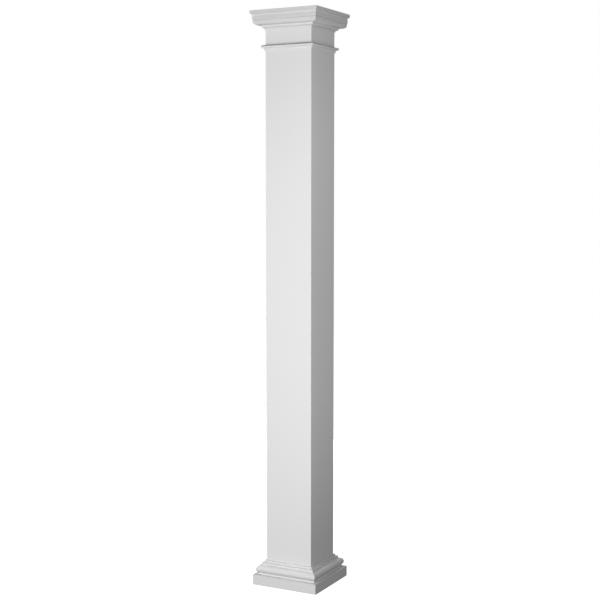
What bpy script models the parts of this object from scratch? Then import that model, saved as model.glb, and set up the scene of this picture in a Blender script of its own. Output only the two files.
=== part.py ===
"""A square column: a hollow square shaft with a plinth, a base moulding, an astragal and a cap round it.

+Z is up. The column stands on z = 0 with its axis on Z and its four faces square to X and Y.
Every ring's outline is given by its projection, the distance that it stands out from the shaft's face.
Lengths are in metres and angles in degrees.
"""

import math

import bmesh
import bpy

# Shaft
COLUMN_HEIGHT = 2.4384
SHAFT_WIDTH = 0.2148
SHAFT_WALL = 0.0127
ARRIS_RADIUS = 0.0015

# Fit of the rings round the shaft, and of one ring on another
RING_CLEARANCE = 0.0003
SEAT_GAP = 0.0003
EDGE_ROUNDING = 0.0005

# Base moulding, from its top down
UPPER_FILLET_PROJECTION = 0.0070
UPPER_FILLET_HEIGHT = 0.0090
LOWER_FILLET_STEP = 0.0090
LOWER_FILLET_HEIGHT = 0.0100
TORUS_LEDGE = 0.0022
TORUS_RADIUS = 0.0173
RECESS_DEPTH = 0.0085
RECESS_SPLAY = 0.0030
RECESS_HEIGHT = 0.0075

# Plinth
PLINTH_HEIGHT = 0.0443
PLINTH_REVEAL = 0.0092

# Neck and astragal, from the cap down
NECK_HEIGHT = 0.0626
ASTRAGAL_LIP = 0.0020
ASTRAGAL_FALL = 15.0
NOSE_RADIUS = 0.0055
ASTRAGAL_COVE_RADIUS = 0.0055
ASTRAGAL_FOOT_PROJECTION = 0.0037
ASTRAGAL_FOOT_HEIGHT = 0.0052

# Cap, from the foot of its bed moulding up
BED_FOOT_PROJECTION = 0.0028
BED_FOOT_HEIGHT = 0.0023
BED_CURVE_RADIUS = 0.0051
BED_FILLET_HEIGHT = 0.0050
SOFFIT_DEPTH = 0.0128
OVOLO_REACH = 0.0140
OVOLO_HEIGHT = 0.0220
OVOLO_TURN = 25.0
CROWN_STEP = 0.0010
BEAD_REACH = 0.0025
BEAD_HEIGHT = 0.0045
BAND_FLARE = 0.0010
BAND_HEIGHT = 0.0090
HOLLOW_DEPTH = 0.0063
HOLLOW_HEIGHT = 0.0105
CROWN_QUIRK = 0.0014
TOP_FILLET_HEIGHT = 0.0135

# Fineness of the curves
ARC_STEPS = 10
ARRIS_SEGMENTS = 4
ROUNDING_SEGMENTS = 2
SHARP_ANGLE = math.radians(30)
MERGE_DISTANCE = 0.00001

# Looks
WHITE = (0.83, 0.83, 0.83, 1.0)
SATIN_ROUGHNESS = 0.42

# A square in plan: its corners lie on the diagonals, so far out for each unit that its sides lie out
SQUARE_SIDES = 4
CORNER_REACH = math.sqrt(2)
CORNER_TURN = math.radians(45)
RIGHT_ANGLE = 90


def clear_scene():
    for obj in list(bpy.data.objects):
        bpy.data.objects.remove(obj, do_unlink=True)


def satin_white(name):
    """The white satin finish of one piece."""
    material = bpy.data.materials.new(name)
    material.use_nodes = True
    shader = material.node_tree.nodes["Principled BSDF"]
    shader.inputs["Base Color"].default_value = WHITE
    shader.inputs["Roughness"].default_value = SATIN_ROUGHNESS
    shader.inputs["Metallic"].default_value = 0.0
    material.diffuse_color = WHITE
    return material


def arc(centre, radii, start, end):
    """Points on an elliptical arc about centre, (projection, height), between two angles in degrees."""
    points = []
    for step in range(ARC_STEPS + 1):
        angle = math.radians(start + (end - start) * step / ARC_STEPS)
        across = centre[0] + radii[0] * math.cos(angle)
        up = centre[1] + radii[1] * math.sin(angle)
        points.append((across, up))
    return points


def round_edges(obj):
    """Takes the sharpness off every edge of a ring."""
    bevel = obj.modifiers.new("rounded_edges", "BEVEL")
    bevel.width = EDGE_ROUNDING
    bevel.segments = ROUNDING_SEGMENTS
    bevel.limit_method = "ANGLE"
    bevel.angle_limit = SHARP_ANGLE


def new_object(name, mesh, collection):
    obj = bpy.data.objects.new(name, mesh)
    collection.objects.link(obj)
    mesh.materials.append(satin_white(name + "_finish"))
    return obj


def shade(mesh):
    mesh.shade_smooth()
    mesh.set_sharp_from_angle(angle=SHARP_ANGLE)


def square_ring(name, outline, collection):
    """A mitred ring round the shaft. The outline holds (projection, height) points, from the top down."""
    face = SHAFT_WIDTH / 2
    top = outline[0][1]
    foot = outline[-1][1]
    section = outline + [(RING_CLEARANCE, foot), (RING_CLEARANCE, top)]
    mesh = bpy.data.meshes.new(name)
    shape = bmesh.new()
    points = [shape.verts.new(((face + out) * CORNER_REACH, 0.0, up)) for out, up in section]
    for first, second in zip(points, points[1:] + points[:1]):
        shape.edges.new((first, second))
    shape.to_mesh(mesh)
    shape.free()
    ring = new_object(name, mesh, collection)
    ring.rotation_euler.z = CORNER_TURN
    sweep = ring.modifiers.new("mitred_sweep", "SCREW")
    sweep.axis = "Z"
    sweep.angle = math.tau
    sweep.steps = SQUARE_SIDES
    sweep.render_steps = SQUARE_SIDES
    sweep.use_merge_vertices = True
    sweep.merge_threshold = MERGE_DISTANCE
    sweep.use_smooth_shade = False
    round_edges(ring)
    return ring


def box_mesh(name, width, height):
    """A square prism standing on z = 0 about the axis."""
    mesh = bpy.data.meshes.new(name)
    shape = bmesh.new()
    bmesh.ops.create_cube(shape, size=1.0)
    bmesh.ops.scale(shape, vec=(width, width, height), verts=shape.verts)
    bmesh.ops.translate(shape, vec=(0.0, 0.0, height / 2), verts=shape.verts)
    shape.to_mesh(mesh)
    shape.free()
    return mesh


def make_shaft(collection, cutters):
    """The hollow shaft, with its four arrises rounded and its bore open at both ends."""
    mesh = box_mesh("shaft", SHAFT_WIDTH, COLUMN_HEIGHT)
    shaft = new_object("shaft", mesh, collection)
    shape = bmesh.new()
    shape.from_mesh(mesh)
    arrises = [edge for edge in shape.edges if edge.verts[0].co.z != edge.verts[1].co.z]
    bmesh.ops.bevel(shape, geom=arrises, offset=ARRIS_RADIUS, segments=ARRIS_SEGMENTS, profile=0.5)
    shape.to_mesh(mesh)
    shape.free()
    bore_width = SHAFT_WIDTH - 2 * SHAFT_WALL
    bore_mesh = box_mesh("shaft_bore", bore_width, COLUMN_HEIGHT + 2 * SHAFT_WALL)
    bore = bpy.data.objects.new("shaft_bore", bore_mesh)
    cutters.objects.link(bore)
    bore.location.z = -SHAFT_WALL
    bore.hide_render = True
    bore.display_type = "WIRE"
    cut = shaft.modifiers.new("bore", "BOOLEAN")
    cut.operation = "DIFFERENCE"
    cut.solver = "EXACT"
    cut.object = bore
    return shaft


def plinth_projection():
    return torus_projection() + PLINTH_REVEAL


def torus_projection():
    return UPPER_FILLET_PROJECTION + LOWER_FILLET_STEP + TORUS_LEDGE + TORUS_RADIUS


def make_plinth(collection):
    reach = plinth_projection()
    return square_ring("plinth", [(reach, PLINTH_HEIGHT), (reach, 0.0)], collection)


def make_base_moulding(collection):
    """Two stepped fillets over a torus, over a recessed fillet that splays out to the plinth."""
    foot = PLINTH_HEIGHT + SEAT_GAP
    recess_angle = math.degrees(math.acos(1 - RECESS_DEPTH / TORUS_RADIUS))
    torus_bottom = foot + RECESS_HEIGHT
    centre_height = torus_bottom + TORUS_RADIUS * math.sin(math.radians(recess_angle))
    centre = (torus_projection() - TORUS_RADIUS, centre_height)
    torus = arc(centre, (TORUS_RADIUS, TORUS_RADIUS), RIGHT_ANGLE, -recess_angle)
    torus_top = centre_height + TORUS_RADIUS
    middle = torus_top + LOWER_FILLET_HEIGHT
    top = middle + UPPER_FILLET_HEIGHT
    lower_reach = UPPER_FILLET_PROJECTION + LOWER_FILLET_STEP
    outline = [
        (UPPER_FILLET_PROJECTION, top),
        (UPPER_FILLET_PROJECTION, middle),
        (lower_reach, middle),
        (lower_reach, torus_top),
    ]
    outline += torus
    outline.append((torus_projection() - RECESS_DEPTH + RECESS_SPLAY, foot))
    return square_ring("base_moulding", outline, collection)


def cap_height():
    bed = BED_FOOT_HEIGHT + 2 * BED_CURVE_RADIUS + BED_FILLET_HEIGHT
    return bed + OVOLO_HEIGHT + BEAD_HEIGHT + BAND_HEIGHT + HOLLOW_HEIGHT + TOP_FILLET_HEIGHT


def make_astragal(collection):
    """A falling top and a round nose, over a small cove that ends in a foot fillet."""
    top = COLUMN_HEIGHT - cap_height() - NECK_HEIGHT
    fall = math.radians(ASTRAGAL_FALL)
    cove_mouth = ASTRAGAL_FOOT_PROJECTION + ASTRAGAL_COVE_RADIUS
    run = cove_mouth + NOSE_RADIUS * math.sin(fall) - ASTRAGAL_LIP
    centre_height = top - run * math.tan(fall) - NOSE_RADIUS * math.cos(fall)
    foot_top = centre_height - NOSE_RADIUS - ASTRAGAL_COVE_RADIUS
    outline = [(ASTRAGAL_LIP, top)]
    nose_radii = (NOSE_RADIUS, NOSE_RADIUS)
    cove_radii = (ASTRAGAL_COVE_RADIUS, ASTRAGAL_COVE_RADIUS)
    outline += arc((cove_mouth, centre_height), nose_radii, RIGHT_ANGLE - ASTRAGAL_FALL, -RIGHT_ANGLE)
    outline += arc((cove_mouth, foot_top), cove_radii, RIGHT_ANGLE, 2 * RIGHT_ANGLE)[1:]
    outline.append((ASTRAGAL_FOOT_PROJECTION, foot_top - ASTRAGAL_FOOT_HEIGHT))
    return square_ring("astragal", outline, collection)


def bed_moulding(foot):
    """The outline under the soffit: a fillet over an S-curve of two quarter rounds, down to a narrow foot."""
    foot_top = foot + BED_FOOT_HEIGHT
    middle = foot_top + BED_CURVE_RADIUS
    fillet_foot = middle + BED_CURVE_RADIUS
    soffit = fillet_foot + BED_FILLET_HEIGHT
    middle_reach = BED_FOOT_PROJECTION + BED_CURVE_RADIUS
    reach = middle_reach + BED_CURVE_RADIUS
    radii = (BED_CURVE_RADIUS, BED_CURVE_RADIUS)
    outline = [(reach, soffit)]
    outline += arc((middle_reach, fillet_foot), radii, 0, -RIGHT_ANGLE)
    outline += arc((middle_reach, foot_top), radii, RIGHT_ANGLE, 2 * RIGHT_ANGLE)[1:]
    outline.append((BED_FOOT_PROJECTION, foot))
    return outline


def crown(soffit_reach, soffit):
    """The outline over the soffit: a top fillet, a hollow, a flared band with a bead, and an ovolo."""
    turn = math.radians(OVOLO_TURN)
    ovolo_rise = OVOLO_HEIGHT / (1 + math.sin(turn))
    ovolo_centre = (soffit_reach + SOFFIT_DEPTH, soffit + ovolo_rise)
    bead_reach = ovolo_centre[0] + OVOLO_REACH * math.cos(turn) + CROWN_STEP
    band_foot = soffit + OVOLO_HEIGHT + BEAD_HEIGHT
    band_top = band_foot + BAND_HEIGHT
    hollow_reach = bead_reach + BEAD_REACH - BAND_FLARE + HOLLOW_DEPTH
    hollow_top = band_top + HOLLOW_HEIGHT
    top_reach = hollow_reach + CROWN_QUIRK
    outline = [(top_reach, hollow_top + TOP_FILLET_HEIGHT), (top_reach, hollow_top)]
    outline += arc((hollow_reach, band_top), (HOLLOW_DEPTH, HOLLOW_HEIGHT), RIGHT_ANGLE, 2 * RIGHT_ANGLE)
    outline += arc((bead_reach, band_foot), (BEAD_REACH, BEAD_HEIGHT), 0, -RIGHT_ANGLE)
    outline += arc(ovolo_centre, (OVOLO_REACH, ovolo_rise), OVOLO_TURN, -RIGHT_ANGLE)
    return outline


def make_cap(collection):
    """The crown over its bed moulding, with its top level with the shaft's."""
    bed = bed_moulding(COLUMN_HEIGHT - cap_height())
    soffit_reach, soffit = bed[0]
    return square_ring("cap", crown(soffit_reach, soffit) + bed, collection)


def main():
    clear_scene()
    column = bpy.data.collections.new("square_column")
    cutters = bpy.data.collections.new("cutters")
    bpy.context.scene.collection.children.link(column)
    bpy.context.scene.collection.children.link(cutters)
    make_shaft(column, cutters)
    make_plinth(column)
    make_base_moulding(column)
    make_astragal(column)
    make_cap(column)
    for obj in column.objects:
        shade(obj.data)


main()
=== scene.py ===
"""The looks of a square column: finely rounded pieces in satin white, on a pale floor in soft studio light.

Metres, +Z up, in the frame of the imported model. Every piece is swept round the column's axis from an outline
of (projection, height) points, the projection being the distance that it stands out from the shaft's face.
"""

import math

import bmesh
import bpy
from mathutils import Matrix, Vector


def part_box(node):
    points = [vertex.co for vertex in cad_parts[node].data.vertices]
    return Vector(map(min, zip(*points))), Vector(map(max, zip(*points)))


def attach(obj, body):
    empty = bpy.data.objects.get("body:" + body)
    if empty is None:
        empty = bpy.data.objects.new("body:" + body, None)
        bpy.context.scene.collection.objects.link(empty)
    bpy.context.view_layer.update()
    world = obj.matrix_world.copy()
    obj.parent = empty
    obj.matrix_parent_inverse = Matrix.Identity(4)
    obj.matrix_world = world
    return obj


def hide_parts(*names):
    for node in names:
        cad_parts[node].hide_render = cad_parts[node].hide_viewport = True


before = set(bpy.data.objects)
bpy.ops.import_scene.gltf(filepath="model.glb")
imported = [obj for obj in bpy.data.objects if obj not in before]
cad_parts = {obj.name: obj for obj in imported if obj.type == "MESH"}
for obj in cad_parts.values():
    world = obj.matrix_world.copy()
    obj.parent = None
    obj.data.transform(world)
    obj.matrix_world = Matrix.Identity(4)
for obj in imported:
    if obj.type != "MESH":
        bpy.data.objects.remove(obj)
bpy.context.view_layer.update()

# Shaft, with its width and height read from the frame
SHAFT_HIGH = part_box("shaft")[1]
HALF_WIDTH = SHAFT_HIGH.x
HEIGHT = SHAFT_HIGH.z
SHAFT_WALL = 0.0127
ARRIS_RADIUS = 0.0015
RING_CLEARANCE = 0.0003

# Base moulding, from its top down
UPPER_FILLET_HEIGHT = 0.0090
LOWER_FILLET_STEP = 0.0090
LOWER_FILLET_HEIGHT = 0.0100
TORUS_LEDGE = 0.0022
TORUS_RADIUS = 0.0173
RECESS_DEPTH = 0.0085
RECESS_SPLAY = 0.0030

# Astragal, from its top down
ASTRAGAL_LIP = 0.0020
ASTRAGAL_FALL = 15
NOSE_RADIUS = 0.0055
ASTRAGAL_COVE_RADIUS = 0.0055

# Cap, from the foot of its bed moulding up
BED_FOOT_HEIGHT = 0.0023
BED_CURVE_RADIUS = 0.0051
BED_FILLET_HEIGHT = 0.0050
SOFFIT_DEPTH = 0.0128
OVOLO_REACH = 0.0140
OVOLO_HEIGHT = 0.0220
OVOLO_TURN = 25
CROWN_STEP = 0.0010
BEAD_REACH = 0.0025
BEAD_HEIGHT = 0.0045
BAND_FLARE = 0.0010
BAND_HEIGHT = 0.0090
HOLLOW_DEPTH = 0.0063
HOLLOW_HEIGHT = 0.0105
CROWN_QUIRK = 0.0014

# Softening of the edges: an outline is sampled, averaged along its length, and thinned where it runs straight
SAMPLE = 0.00015
SOFT_SPAN = 4
THIN_ANGLE = math.radians(5)
MITRE_RADIUS = 0.0008
BORE_CORNER_RADIUS = 0.0004
CORNER_STEPS = 5
ARC_STEPS = 24
QUARTER = 90
SQUARE_SIDES = 4

# Finish, with painted shade: in creases, on undersides, in a line over the astragal, and a darker white on the
# cap and plinth
SHAFT_TONE = 0.83
MOULDING_TONE = 0.82
# The cap's and plinth's whites are darker than the shaft's: painted shade on one white
CAP_SHADED_TONE = 0.77
PLINTH_SHADED_TONE = 0.80
CORE_TONE = 0.70
# Painted shade: none, and the tone it darkens to in creases and on undersides, as a share of the white
NO_PAINTED_SHADE = 0.0
PAINTED_SHADE_TONE = 0.30
# Painted shadow line over the astragal: its darkness, how far it rises up the neck, and how far it falls down
# the astragal's top
SHADOW_LINE_TONE = 0.32
SHADOW_LINE_RISE = 0.0010
SHADOW_LINE_FALL = 0.0085
# How strong the painted shade is in each piece's creases and on its undersides, and how far the creases reach
PLINTH_CREASE_SHADE = 0.35
BASE_CREASE_SHADE = 0.50
BASE_UNDERSIDE_SHADE = 0.38
ASTRAGAL_CREASE_SHADE = 0.60
ASTRAGAL_UNDERSIDE_SHADE = 0.06
CAP_CREASE_SHADE = 0.64
CAP_UNDERSIDE_SHADE = 0.12
CREASE_REACH = 0.012
CREASE_SAMPLES = 16
NOISE_ROUGHNESS = 0.5
NOISE_LOW = 0.3
NOISE_HIGH = 0.7
UNSTRETCHED = (1.0, 1.0, 1.0)
WHITE = (1.0, 1.0, 1.0, 1.0)
BLACK = (0.0, 0.0, 0.0, 1.0)

# Satin white, from its broad clouding down to its orange peel
CLOUD_SCALE = 7.0
CLOUD_DETAIL = 3.0
CLOUD_DARK = 0.988
CLOUD_LIGHT = 1.006
UPRIGHT_STREAKS = (240.0, 240.0, 3.0)
LEVEL_STREAKS = (5.0, 5.0, 420.0)
STREAK_SCALE = 1.0
STREAK_DETAIL = 2.0
STREAK_RELIEF = 0.12
STREAK_DEPTH = 0.00006
PEEL_SCALE = 420.0
PEEL_DETAIL = 2.0
PEEL_RELIEF = 0.10
PEEL_DEPTH = 0.00008
SATIN_SMOOTHEST = 0.44
SATIN_ROUGHEST = 0.56
SATIN_SPECULAR = 0.35

# Unpainted core
CORE_CLOUD_SCALE = 18.0
CORE_CLOUD_DETAIL = 4.0
CORE_DARK = 0.93
CORE_LIGHT = 1.03
PIT_SCALE = 900.0
PIT_DETAIL = 3.0
PIT_HARSHNESS = 0.7
PIT_RELIEF = 0.30
PIT_DEPTH = 0.0002
CORE_SMOOTHEST = 0.70
CORE_ROUGHEST = 0.85

# Camera and lamps
CAMERA_PLACE = (2.454, -4.651, 1.6857)
CAMERA_PITCH = math.radians(4.98)
CAMERA_YAW = math.radians(27.833)
CAMERA_LENS = 73.96
SENSOR_WIDTH = 36.0
KEY_SIDES = (0.45, 0.35)
HIGH_KEY_PLACE = (-0.40, -3.0, 1.70)
HIGH_KEY_POWER = 41.0
LOW_KEY_PLACE = (-0.40, -3.0, 0.20)
LOW_KEY_POWER = 29.2
SIDE_SIDES = (0.35, 0.30)
HIGH_SIDE_PLACE = (1.20, -0.50, 2.00)
HIGH_SIDE_POWER = 4.75
LOW_SIDE_PLACE = (1.20, -0.50, 0.80)
LOW_SIDE_POWER = 3.45
BACK_STRIP_SIDES = (0.90, 0.08)
BACK_STRIP_POWER = 21.0
HIGH_BACK_PLACE = (-1.60, 2.60, 2.50)
LOW_BACK_PLACE = (-1.60, 2.60, 0.05)
OVERHEAD_PLACE = (-0.35, 0.35, 4.30)
OVERHEAD_SIDES = (0.40, 0.40)
OVERHEAD_POWER = 20.0
AMBIENT_LEVEL = 0.12
BACKDROP_WHITE = 1.0
FLOOR_SIDE = 16.0
FLOOR_GLOW = 1.0
FLOOR_CLOUD_SCALE = 3.0
FLOOR_CLOUD_DETAIL = 2.0
FLOOR_DARK = 0.84
FLOOR_LIGHT = 0.86
FLOOR_ROUGHNESS = 0.9


def arc(centre, radii, start, end):
    """Points on an elliptical arc about centre, (projection, height), between two angles in degrees."""
    points = []
    for step in range(ARC_STEPS + 1):
        angle = math.radians(start + (end - start) * step / ARC_STEPS)
        points.append((centre[0] + radii[0] * math.cos(angle), centre[1] + radii[1] * math.sin(angle)))
    return points


def sampled(outline):
    """The closed outline as evenly spaced points."""
    points = []
    for first, second in zip(outline, outline[1:] + outline[:1]):
        a, b = Vector(first), Vector(second)
        count = max(1, round((b - a).length / SAMPLE))
        points += [a.lerp(b, step / count) for step in range(count)]
    return points


def averaged(points):
    """Each point moved to the mean of its near neighbours, which rounds the corners and leaves the flats."""
    count = len(points)
    reach = range(-SOFT_SPAN, SOFT_SPAN + 1)
    return [sum((points[(i + k) % count] for k in reach), Vector((0, 0))) / len(reach) for i in range(count)]


def thinned(points):
    """Only the points where the outline has turned, so that a flat is one face."""
    kept = []
    count = len(points)
    heading = None
    for i, point in enumerate(points):
        ahead = points[(i + 1) % count] - point
        if heading is None or abs(heading.angle_signed(ahead, 0.0)) > THIN_ANGLE:
            kept.append(point)
            heading = ahead
    return kept


def corner_points(reach, height, radius):
    """One turn round the column at this half-width, with each corner rounded."""
    points = []
    inner = reach - radius
    for side in range(SQUARE_SIDES):
        turn = math.radians(QUARTER * side)
        cosine = math.cos(turn)
        sine = math.sin(turn)
        centre = Vector((inner * (cosine - sine), inner * (sine + cosine)))
        for step in range(CORNER_STEPS + 1):
            angle = turn + math.radians(QUARTER) * step / CORNER_STEPS
            points.append((centre.x + radius * math.cos(angle), centre.y + radius * math.sin(angle), height))
    return points


def swept(name, outline, bore, corner_radius, finish, core):
    """One smooth ring of this outline, closed on its inner side by a bore at this projection."""
    section = outline + [(bore, outline[-1][1]), (bore, outline[0][1])]
    loop = thinned(averaged(sampled(section)))
    shape = bmesh.new()
    turns = []
    for out, up in loop:
        inside = out < bore + SAMPLE
        radius = BORE_CORNER_RADIUS if inside else corner_radius
        turns.append([shape.verts.new(co) for co in corner_points(HALF_WIDTH + out, up, radius)])
    for i, upper in enumerate(turns):
        after = (i + 1) % len(turns)
        lower = turns[after]
        hidden = max(loop[i].x, loop[after].x) < bore + SAMPLE
        for k in range(len(upper)):
            following = (k + 1) % len(upper)
            face = shape.faces.new((upper[k], lower[k], lower[following], upper[following]))
            face.smooth = True
            face.material_index = 1 if hidden else 0
    bmesh.ops.recalc_face_normals(shape, faces=shape.faces)
    mesh = bpy.data.meshes.new(name)
    shape.to_mesh(mesh)
    shape.free()
    piece = bpy.data.objects.new(name, mesh)
    bpy.context.scene.collection.objects.link(piece)
    piece.data.materials.append(finish)
    piece.data.materials.append(core)
    normals = piece.modifiers.new("flat_faces_stay_flat", "WEIGHTED_NORMAL")
    normals.mode = "FACE_AREA_WITH_ANGLE"
    normals.keep_sharp = False
    return piece


def shaft_outline():
    """One flat face, over the column's whole height."""
    return [(0.0, HEIGHT), (0.0, 0.0)]


def plinth_outline():
    """One flat face."""
    low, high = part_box("plinth")
    reach = high.x - HALF_WIDTH
    return [(reach, high.z), (reach, low.z)]


def base_outline():
    """Two stepped fillets over a torus, over a recessed fillet that splays out to the plinth."""
    low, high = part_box("base_moulding")
    torus_reach = high.x - HALF_WIDTH
    middle = high.z - UPPER_FILLET_HEIGHT
    torus_top = middle - LOWER_FILLET_HEIGHT
    lower_reach = torus_reach - TORUS_RADIUS - TORUS_LEDGE
    upper_reach = lower_reach - LOWER_FILLET_STEP
    recess_angle = math.degrees(math.acos(1 - RECESS_DEPTH / TORUS_RADIUS))
    centre = (torus_reach - TORUS_RADIUS, torus_top - TORUS_RADIUS)
    outline = [(upper_reach, high.z), (upper_reach, middle), (lower_reach, middle), (lower_reach, torus_top)]
    outline += arc(centre, (TORUS_RADIUS, TORUS_RADIUS), QUARTER, -recess_angle)
    outline.append((torus_reach - RECESS_DEPTH + RECESS_SPLAY, low.z))
    return outline


def astragal_outline():
    """A falling top and a round nose, over a small cove that ends in a foot fillet."""
    low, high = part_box("astragal")
    fall = math.radians(ASTRAGAL_FALL)
    cove_mouth = high.x - HALF_WIDTH - NOSE_RADIUS
    run = cove_mouth + NOSE_RADIUS * math.sin(fall) - ASTRAGAL_LIP
    centre_height = high.z - run * math.tan(fall) - NOSE_RADIUS * math.cos(fall)
    foot_reach = cove_mouth - ASTRAGAL_COVE_RADIUS
    foot_top = centre_height - NOSE_RADIUS - ASTRAGAL_COVE_RADIUS
    nose_radii = (NOSE_RADIUS, NOSE_RADIUS)
    cove_radii = (ASTRAGAL_COVE_RADIUS, ASTRAGAL_COVE_RADIUS)
    outline = [(ASTRAGAL_LIP, high.z)]
    outline += arc((cove_mouth, centre_height), nose_radii, QUARTER - ASTRAGAL_FALL, -QUARTER)
    outline += arc((cove_mouth, foot_top), cove_radii, QUARTER, 2 * QUARTER)[1:]
    outline.append((foot_reach, low.z))
    return outline


def cap_outline():
    """The crown's fillet, hollow, band, bead, ovolo and soffit, over an S-curved bed moulding."""
    low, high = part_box("cap")
    turn = math.radians(OVOLO_TURN)
    ovolo_rise = OVOLO_HEIGHT / (1 + math.sin(turn))
    foot_top = low.z + BED_FOOT_HEIGHT
    fillet_foot = foot_top + 2 * BED_CURVE_RADIUS
    soffit = fillet_foot + BED_FILLET_HEIGHT
    band_foot = soffit + OVOLO_HEIGHT + BEAD_HEIGHT
    band_top = band_foot + BAND_HEIGHT
    top_reach = high.x - HALF_WIDTH
    hollow_reach = top_reach - CROWN_QUIRK
    bead_reach = hollow_reach - HOLLOW_DEPTH + BAND_FLARE - BEAD_REACH
    ovolo_reach = bead_reach - CROWN_STEP - OVOLO_REACH * math.cos(turn)
    bed_reach = ovolo_reach - SOFFIT_DEPTH
    bed_middle = bed_reach - BED_CURVE_RADIUS
    foot_reach = bed_middle - BED_CURVE_RADIUS
    bed_radii = (BED_CURVE_RADIUS, BED_CURVE_RADIUS)
    outline = [(top_reach, high.z), (top_reach, band_top + HOLLOW_HEIGHT)]
    outline += arc((hollow_reach, band_top), (HOLLOW_DEPTH, HOLLOW_HEIGHT), QUARTER, 2 * QUARTER)
    outline += arc((bead_reach, band_foot), (BEAD_REACH, BEAD_HEIGHT), 0, -QUARTER)
    outline += arc((ovolo_reach, soffit + ovolo_rise), (OVOLO_REACH, ovolo_rise), OVOLO_TURN, -QUARTER)
    outline.append((bed_reach, soffit))
    outline += arc((bed_middle, fillet_foot), bed_radii, 0, -QUARTER)
    outline += arc((bed_middle, foot_top), bed_radii, QUARTER, 2 * QUARTER)[1:]
    outline.append((foot_reach, low.z))
    return outline


def new_material(name):
    """A material, its shader, and short ways to add a node and to link two sockets."""
    material = bpy.data.materials.new(name)
    material.use_nodes = True
    tree = material.node_tree
    return material, tree.nodes["Principled BSDF"], tree.nodes.new, tree.links.new


def noise(add, link, places, scale, detail, roughness=NOISE_ROUGHNESS):
    """A noise pattern over these places, as a socket that runs from 0 to 1."""
    texture = add("ShaderNodeTexNoise")
    texture.inputs["Scale"].default_value = scale
    texture.inputs["Detail"].default_value = detail
    texture.inputs["Roughness"].default_value = roughness
    link(places, texture.inputs["Vector"])
    return texture.outputs["Fac"]


def between(add, link, factor, low, high):
    """The factor's middle range spread from low to high."""
    spread = add("ShaderNodeMapRange")
    spread.inputs["From Min"].default_value = NOISE_LOW
    spread.inputs["From Max"].default_value = NOISE_HIGH
    spread.inputs["To Min"].default_value = low
    spread.inputs["To Max"].default_value = high
    link(factor, spread.inputs["Value"])
    return spread.outputs["Result"]


def stretched(add, link, scale):
    """The object's own places, squeezed along each axis."""
    places = add("ShaderNodeTexCoord").outputs["Object"]
    mapping = add("ShaderNodeMapping")
    mapping.inputs["Scale"].default_value = scale
    link(places, mapping.inputs["Vector"])
    return mapping.outputs["Vector"]


def bump(add, link, height, strength, depth, under=None):
    """A bumped normal, laid over another where one is given."""
    relief = add("ShaderNodeBump")
    relief.inputs["Strength"].default_value = strength
    relief.inputs["Distance"].default_value = depth
    link(height, relief.inputs["Height"])
    if under is not None:
        link(under, relief.inputs["Normal"])
    return relief.outputs["Normal"]


def tinted(add, link, factor, dark, light):
    """A colour between two near-whites."""
    mix = add("ShaderNodeMix")
    mix.data_type = "RGBA"
    mix.inputs["A"].default_value = (dark, dark, dark, 1.0)
    mix.inputs["B"].default_value = (light, light, light, 1.0)
    link(factor, mix.inputs["Factor"])
    return mix.outputs["Result"]


def maths(add, link, operation, first, second):
    """One sum on two sockets, or on a socket and a number."""
    node = add("ShaderNodeMath")
    node.operation = operation
    for value, socket in zip((first, second), node.inputs):
        if isinstance(value, float):
            socket.default_value = value
        else:
            link(value, socket)
    return node.outputs["Value"]


def with_painted_shade(add, link, colour, shade_tone, crease_shade_strength, underside_shade_strength):
    """The colour, with painted shade in the creases of ledges and undersides, and more painted shade on open
    undersides.
    """
    crease = add("ShaderNodeAmbientOcclusion")
    crease.samples = CREASE_SAMPLES
    crease.inputs["Distance"].default_value = CREASE_REACH
    closed = maths(add, link, "SUBTRACT", 1.0, crease.outputs["AO"])
    facing = add("ShaderNodeSeparateXYZ")
    link(add("ShaderNodeNewGeometry").outputs["Normal"], facing.inputs["Vector"])
    level = maths(add, link, "ABSOLUTE", facing.outputs["Z"], 0.0)
    # Painted shade: darkest in the creases of level faces, and darker again on faces turned down
    shaded_creases = maths(add, link, "MULTIPLY", maths(add, link, "MULTIPLY", closed, level), crease_shade_strength)
    under = maths(add, link, "MINIMUM", facing.outputs["Z"], 0.0)
    painted_shade = maths(add, link, "SUBTRACT", shaded_creases, maths(add, link, "MULTIPLY", under, underside_shade_strength))
    mix = add("ShaderNodeMix")
    mix.data_type = "RGBA"
    mix.inputs["B"].default_value = (shade_tone, shade_tone, shade_tone, 1.0)
    link(colour, mix.inputs["A"])
    link(painted_shade, mix.inputs["Factor"])
    return mix.outputs["Result"]


def with_painted_shadow_line(add, link, colour, unshadowed_height):
    """The colour, darkened by a painted shadow line at the astragal's ledge, and unshaded again by this
    height.
    """
    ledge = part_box("astragal")[1].z
    height = add("ShaderNodeSeparateXYZ")
    link(add("ShaderNodeTexCoord").outputs["Object"], height.inputs["Vector"])
    line = add("ShaderNodeMapRange")
    line.interpolation_type = "SMOOTHSTEP"
    line.inputs["From Min"].default_value = ledge
    line.inputs["From Max"].default_value = unshadowed_height
    line.inputs["To Min"].default_value = SHADOW_LINE_TONE
    line.inputs["To Max"].default_value = 1.0
    link(height.outputs["Z"], line.inputs["Value"])
    below = maths(add, link, "LESS_THAN", height.outputs["Z"], ledge - SHADOW_LINE_FALL)
    kept = maths(add, link, "MAXIMUM", line.outputs["Result"], below)
    mix = add("ShaderNodeMix")
    mix.data_type = "RGBA"
    mix.inputs["A"].default_value = BLACK
    link(kept, mix.inputs["Factor"])
    link(colour, mix.inputs["B"])
    return mix.outputs["Result"]


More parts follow.
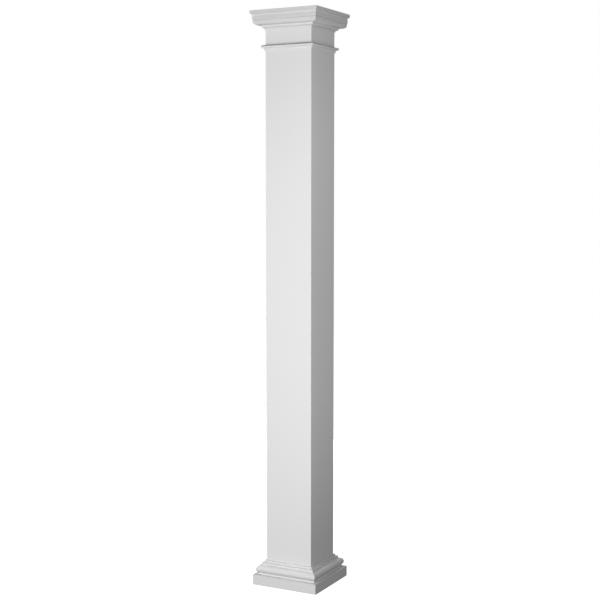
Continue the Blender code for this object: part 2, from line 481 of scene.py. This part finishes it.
def satin_white(name, tone, streaks, crease_shade_strength, underside_shade_strength, shadow_line_end=None):
    """Sprayed satin white: faint clouding, orange peel, and streaks drawn along the run of the piece, with
    painted shade added to its colour.
    """
    material, shader, add, link = new_material(name)
    plain = stretched(add, link, UNSTRETCHED)
    along = stretched(add, link, streaks)
    clouds = noise(add, link, plain, CLOUD_SCALE, CLOUD_DETAIL)
    unshaded = tinted(add, link, clouds, tone * CLOUD_DARK, tone * CLOUD_LIGHT)
    # Painted shade in creases and on undersides, then the painted shadow line over the astragal where one is
    # asked for
    colour = with_painted_shade(add, link, unshaded, tone * PAINTED_SHADE_TONE, crease_shade_strength, underside_shade_strength)
    if shadow_line_end is not None:
        colour = with_painted_shadow_line(add, link, colour, shadow_line_end)
    link(colour, shader.inputs["Base Color"])
    sheen = noise(add, link, along, STREAK_SCALE, STREAK_DETAIL)
    link(between(add, link, sheen, SATIN_SMOOTHEST, SATIN_ROUGHEST), shader.inputs["Roughness"])
    drawn = bump(add, link, sheen, STREAK_RELIEF, STREAK_DEPTH)
    peel = noise(add, link, plain, PEEL_SCALE, PEEL_DETAIL)
    link(bump(add, link, peel, PEEL_RELIEF, PEEL_DEPTH, drawn), shader.inputs["Normal"])
    shader.inputs["Specular IOR Level"].default_value = SATIN_SPECULAR
    return material


def raw_core(name, tone):
    """The unpainted inner face: matt, off-white and finely pitted."""
    material, shader, add, link = new_material(name)
    plain = stretched(add, link, UNSTRETCHED)
    clouds = noise(add, link, plain, CORE_CLOUD_SCALE, CORE_CLOUD_DETAIL)
    link(tinted(add, link, clouds, tone * CORE_DARK, tone * CORE_LIGHT), shader.inputs["Base Color"])
    pits = noise(add, link, plain, PIT_SCALE, PIT_DETAIL, PIT_HARSHNESS)
    link(between(add, link, pits, CORE_SMOOTHEST, CORE_ROUGHEST), shader.inputs["Roughness"])
    link(bump(add, link, pits, PIT_RELIEF, PIT_DEPTH), shader.inputs["Normal"])
    return material


def dress():
    """Makes the five pieces and puts each in its node's place."""
    core = raw_core("raw_core", CORE_TONE)
    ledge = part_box("astragal")[1].z
    # Each white carries painted shade in its creases and on its undersides; the astragal and shaft also carry
    # the painted shadow line over the astragal
    plinth_white = satin_white("white_plinth", PLINTH_SHADED_TONE, LEVEL_STREAKS, PLINTH_CREASE_SHADE, NO_PAINTED_SHADE)
    base_white = satin_white("white_base_moulding", MOULDING_TONE, LEVEL_STREAKS, BASE_CREASE_SHADE, BASE_UNDERSIDE_SHADE)
    astragal_white = satin_white(
        "white_astragal", MOULDING_TONE, LEVEL_STREAKS, ASTRAGAL_CREASE_SHADE, ASTRAGAL_UNDERSIDE_SHADE, ledge - SHADOW_LINE_FALL)
    cap_white = satin_white("white_cap", CAP_SHADED_TONE, LEVEL_STREAKS, CAP_CREASE_SHADE, CAP_UNDERSIDE_SHADE)
    shaft_white = satin_white("white_shaft", SHAFT_TONE, UPRIGHT_STREAKS, NO_PAINTED_SHADE, NO_PAINTED_SHADE, ledge + SHADOW_LINE_RISE)
    made = (
        ("shaft", shaft_outline(), -SHAFT_WALL, ARRIS_RADIUS, shaft_white, "shaft_white"),
        ("plinth", plinth_outline(), RING_CLEARANCE, MITRE_RADIUS, plinth_white, "trim_white"),
        ("base_moulding", base_outline(), RING_CLEARANCE, MITRE_RADIUS, base_white, "trim_white"),
        ("astragal", astragal_outline(), RING_CLEARANCE, MITRE_RADIUS, astragal_white, "trim_white"),
        ("cap", cap_outline(), RING_CLEARANCE, MITRE_RADIUS, cap_white, "trim_white"),
    )
    for node, outline, bore, corner_radius, finish, slot in made:
        piece = swept("fine_" + node, outline, bore, corner_radius, finish, core)
        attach(piece, "root")
        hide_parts(node)


def lamp(name, place, sides, power, aim_height):
    """A soft box that faces the column's axis at this height."""
    data = bpy.data.lights.new(name, "AREA")
    data.shape = "RECTANGLE"
    data.size, data.size_y = sides
    data.energy = power
    box = bpy.data.objects.new(name, data)
    box.location = place
    facing = Vector((0.0, 0.0, aim_height)) - Vector(place)
    box.rotation_euler = facing.to_track_quat("-Z", "Y").to_euler()
    bpy.context.scene.collection.objects.link(box)
    return box


def make_camera():
    """A camera that looks a little down, at the column's front and right faces."""
    data = bpy.data.cameras.new("camera")
    data.lens = CAMERA_LENS
    data.sensor_width = SENSOR_WIDTH
    camera = bpy.data.objects.new("camera", data)
    camera.location = CAMERA_PLACE
    camera.rotation_euler = (math.radians(QUARTER) - CAMERA_PITCH, 0.0, CAMERA_YAW)
    bpy.context.scene.collection.objects.link(camera)
    bpy.context.scene.camera = camera


def make_lamps():
    """Four soft boxes in front, a strip behind the head and one behind the foot, and a box overhead."""
    front = (
        ("high_key", HIGH_KEY_PLACE, KEY_SIDES, HIGH_KEY_POWER),
        ("low_key", LOW_KEY_PLACE, KEY_SIDES, LOW_KEY_POWER),
        ("high_side", HIGH_SIDE_PLACE, SIDE_SIDES, HIGH_SIDE_POWER),
        ("low_side", LOW_SIDE_PLACE, SIDE_SIDES, LOW_SIDE_POWER),
    )
    for name, place, sides, power in front:
        lamp(name, place, sides, power, place[2])
    for name, place in (("high_back", HIGH_BACK_PLACE), ("low_back", LOW_BACK_PLACE)):
        strip = lamp(name, place, BACK_STRIP_SIDES, BACK_STRIP_POWER, place[2])
        strip.visible_glossy = False
    lamp("overhead", OVERHEAD_PLACE, OVERHEAD_SIDES, OVERHEAD_POWER, HEIGHT)


def make_world():
    """A white backdrop, and a little even light from all round."""
    world = bpy.data.worlds.new("studio")
    bpy.context.scene.world = world
    world.use_nodes = True
    add, link = world.node_tree.nodes.new, world.node_tree.links.new
    background = world.node_tree.nodes["Background"]
    background.inputs["Color"].default_value = WHITE
    seen = add("ShaderNodeMix")
    seen.inputs["A"].default_value = AMBIENT_LEVEL
    seen.inputs["B"].default_value = BACKDROP_WHITE
    link(add("ShaderNodeLightPath").outputs["Is Camera Ray"], seen.inputs["Factor"])
    link(seen.outputs["Result"], background.inputs["Strength"])


def make_floor():
    """A plain pale floor that adds no light of its own to the column."""
    mesh = bpy.data.meshes.new("floor")
    shape = bmesh.new()
    bmesh.ops.create_grid(shape, size=FLOOR_SIDE / 2)
    shape.to_mesh(mesh)
    shape.free()
    floor = bpy.data.objects.new("floor", mesh)
    bpy.context.scene.collection.objects.link(floor)
    material, shader, add, link = new_material("pale_floor")
    places = stretched(add, link, UNSTRETCHED)
    clouds = noise(add, link, places, FLOOR_CLOUD_SCALE, FLOOR_CLOUD_DETAIL)
    link(tinted(add, link, clouds, FLOOR_DARK, FLOOR_LIGHT), shader.inputs["Base Color"])
    shader.inputs["Roughness"].default_value = FLOOR_ROUGHNESS
    shader.inputs["Emission Color"].default_value = WHITE
    shader.inputs["Emission Strength"].default_value = FLOOR_GLOW
    mesh.materials.append(material)
    floor.visible_diffuse = False
    floor.visible_glossy = False


dress()
make_camera()
make_lamps()
make_world()
make_floor()
bpy.context.scene.view_settings.view_transform = "Standard"
